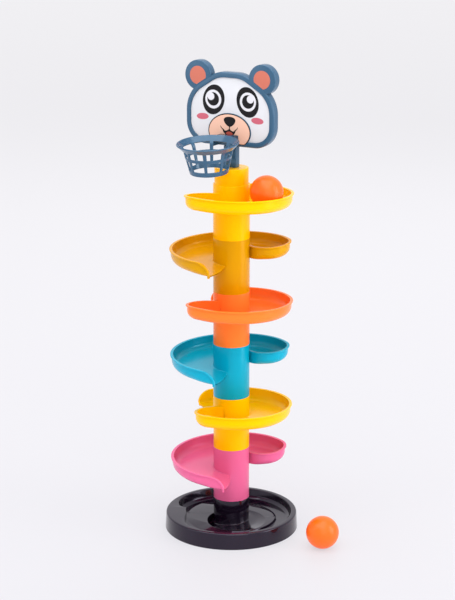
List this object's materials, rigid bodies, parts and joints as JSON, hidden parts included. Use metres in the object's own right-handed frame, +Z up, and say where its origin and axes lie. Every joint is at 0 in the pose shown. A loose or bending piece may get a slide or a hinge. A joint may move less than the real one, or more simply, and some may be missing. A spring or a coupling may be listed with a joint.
{
  "type": "ball drop tower toy",
  "caption": "Free-standing toy tower: spiral trays turn on a round column, so balls run down into a dish below; a bear head on top carries a basketball hoop.",
  "frame": {"origin": "centre of the base's underside, on the floor, on the column's axis", "axes": "+Z up along the column; the front, which the picture's camera sees, is -Y; +X is to the right seen from the front"},
  "size_m": [0.2404, 0.1992, 0.6555],
  "materials": {
    "base_black": "glossy moulded plastic, aubergine black",
    "pink_plastic": "glossy moulded plastic",
    "yellow_plastic": "glossy moulded plastic",
    "teal_plastic": "glossy moulded plastic",
    "orange_plastic": "glossy moulded plastic",
    "amber_plastic": "glossy moulded plastic",
    "slate_plastic": "glossy moulded plastic",
    "ball_orange": "glossy blow-moulded plastic",
    "face_label": "printed label",
    "muzzle_label": "printed label",
    "ear_label": "printed label",
    "print": "printed in black, white, rose and red"
  },
  "bodies": {
    "base": {"base_dish": "base_black"},
    "pink_turn": {"pink_tier": "pink_plastic"},
    "lower_yellow_turn": {"lower_yellow_tier": "yellow_plastic"},
    "blue_turn": {"blue_tier": "teal_plastic"},
    "orange_turn": {"orange_tier": "orange_plastic"},
    "amber_turn": {"amber_tier": "amber_plastic"},
    "upper_yellow_turn": {"upper_yellow_tier": "yellow_plastic"},
    "topper": {"head_post": "slate_plastic", "head_shell": "slate_plastic", "face_label": "face_label", "muzzle_label": "muzzle_label", "face_print": "print", "left_ear_label": "ear_label", "right_ear_label": "ear_label", "hoop": "slate_plastic"},
    "ball_in_tray": {"tray_ball": "ball_orange"},
    "ball_on_floor": {"loose_ball": "ball_orange"}
  },
  "joints": [
    {"name": "pink_spin", "type": "hinge", "parent": "base", "child": "pink_turn", "pos_m": [0, 0, 0.0438], "axis": [0, 0, 1], "continuous": true},
    {"name": "lower_yellow_spin", "type": "hinge", "parent": "pink_turn", "child": "lower_yellow_turn", "pos_m": [0, 0, 0.1185], "axis": [0, 0, 1], "continuous": true},
    {"name": "blue_spin", "type": "hinge", "parent": "lower_yellow_turn", "child": "blue_turn", "pos_m": [0, 0, 0.1932], "axis": [0, 0, 1], "continuous": true},
    {"name": "orange_spin", "type": "hinge", "parent": "blue_turn", "child": "orange_turn", "pos_m": [0, 0, 0.2679], "axis": [0, 0, 1], "continuous": true},
    {"name": "amber_spin", "type": "hinge", "parent": "orange_turn", "child": "amber_turn", "pos_m": [0, 0, 0.3426], "axis": [0, 0, 1], "continuous": true},
    {"name": "upper_yellow_spin", "type": "hinge", "parent": "amber_turn", "child": "upper_yellow_turn", "pos_m": [0, 0, 0.4173], "axis": [0, 0, 1], "continuous": true},
    {"name": "topper_lift", "type": "slide", "parent": "upper_yellow_turn", "child": "topper", "axis": [0, 0, 1], "range_m": [0, 0.04]},
    {"name": "tray_ball_roll", "type": "hinge", "parent": "upper_yellow_turn", "child": "ball_in_tray", "pos_m": [0, 0, 0.48385], "axis": [-0.0286, 0.044, 0.9986], "range_deg": [0, 130]},
    {"name": "loose_ball_lift", "type": "slide", "parent": "base", "child": "ball_on_floor", "axis": [0, 0, 1], "range_m": [0, 0.6]}
  ]
}
